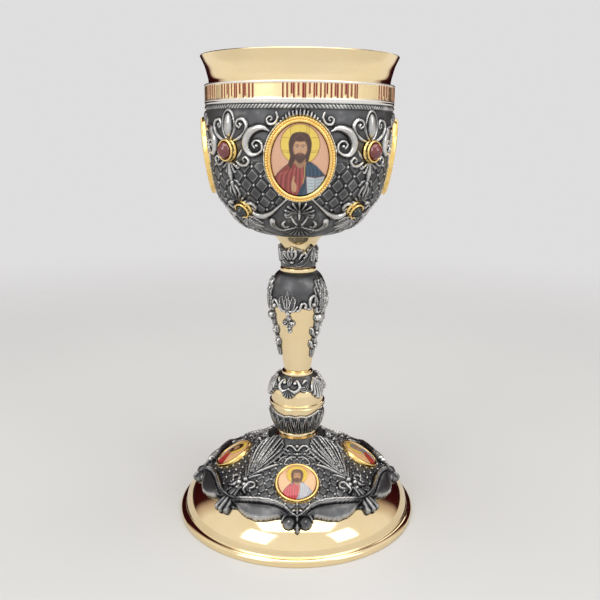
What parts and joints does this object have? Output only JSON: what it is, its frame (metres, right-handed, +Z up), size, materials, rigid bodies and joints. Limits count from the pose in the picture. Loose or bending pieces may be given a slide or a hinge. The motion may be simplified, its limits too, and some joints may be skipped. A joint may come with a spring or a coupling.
{
  "type": "chalice",
  "caption": "Gilt footed cup with a silver relief casing, oval enamel medallions and set stones, on a baluster stem with a knop and a domed foot.",
  "frame": {"origin": "centre of the foot's underside, on the surface it stands on", "axes": "+Z up along the stem; the front medallions face -Y, +X is to the right seen from the front"},
  "size_m": [0.161, 0.161, 0.3],
  "materials": {
    "gilt": "polished pale gilding",
    "medallion_gold": "satin yellow gilding",
    "silver": "oxidised silver, dark in the recesses and bright on the ridges",
    "enamel": "painted enamel under a clear glossy dome",
    "garnet": "polished deep red cabochon",
    "dark_stone": "polished dark green cabochon"
  },
  "bodies": {
    "root": {"cup": "gilt", "inscription_band": "gilt", "bowl_casing": "silver", "bowl_medallion_frame_front": "medallion_gold", "bowl_medallion_enamel_front": "enamel", "bowl_medallion_frame_right": "medallion_gold", "bowl_medallion_enamel_right": "enamel", "bowl_medallion_frame_back": "medallion_gold", "bowl_medallion_enamel_back": "enamel", "bowl_medallion_frame_left": "medallion_gold", "bowl_medallion_enamel_left": "enamel", "garnet_front_right_bezel": "medallion_gold", "garnet_front_right": "garnet", "dark_stone_front_right_bezel": "medallion_gold", "dark_stone_front_right": "dark_stone", "garnet_back_right_bezel": "medallion_gold", "garnet_back_right": "garnet", "dark_stone_back_right_bezel": "medallion_gold", "dark_stone_back_right": "dark_stone", "garnet_back_left_bezel": "medallion_gold", "garnet_back_left": "garnet", "dark_stone_back_left_bezel": "medallion_gold", "dark_stone_back_left": "dark_stone", "garnet_front_left_bezel": "medallion_gold", "garnet_front_left": "garnet", "dark_stone_front_left_bezel": "medallion_gold", "dark_stone_front_left": "dark_stone", "neck": "gilt", "neck_leaf_collar": "silver", "upper_ring": "gilt", "baluster": "gilt", "baluster_mantle": "silver", "middle_ring": "gilt", "knop": "gilt", "knop_upper_leaves": "silver", "knop_lower_leaves": "silver", "lower_ring": "gilt", "foot": "gilt", "foot_overlay": "silver", "foot_medallion_bezel_front": "medallion_gold", "foot_medallion_enamel_front": "enamel", "foot_medallion_bezel_right": "medallion_gold", "foot_medallion_enamel_right": "enamel", "foot_medallion_bezel_back": "medallion_gold", "foot_medallion_enamel_back": "enamel", "foot_medallion_bezel_left": "medallion_gold", "foot_medallion_enamel_left": "enamel"}
  },
  "joints": []
}
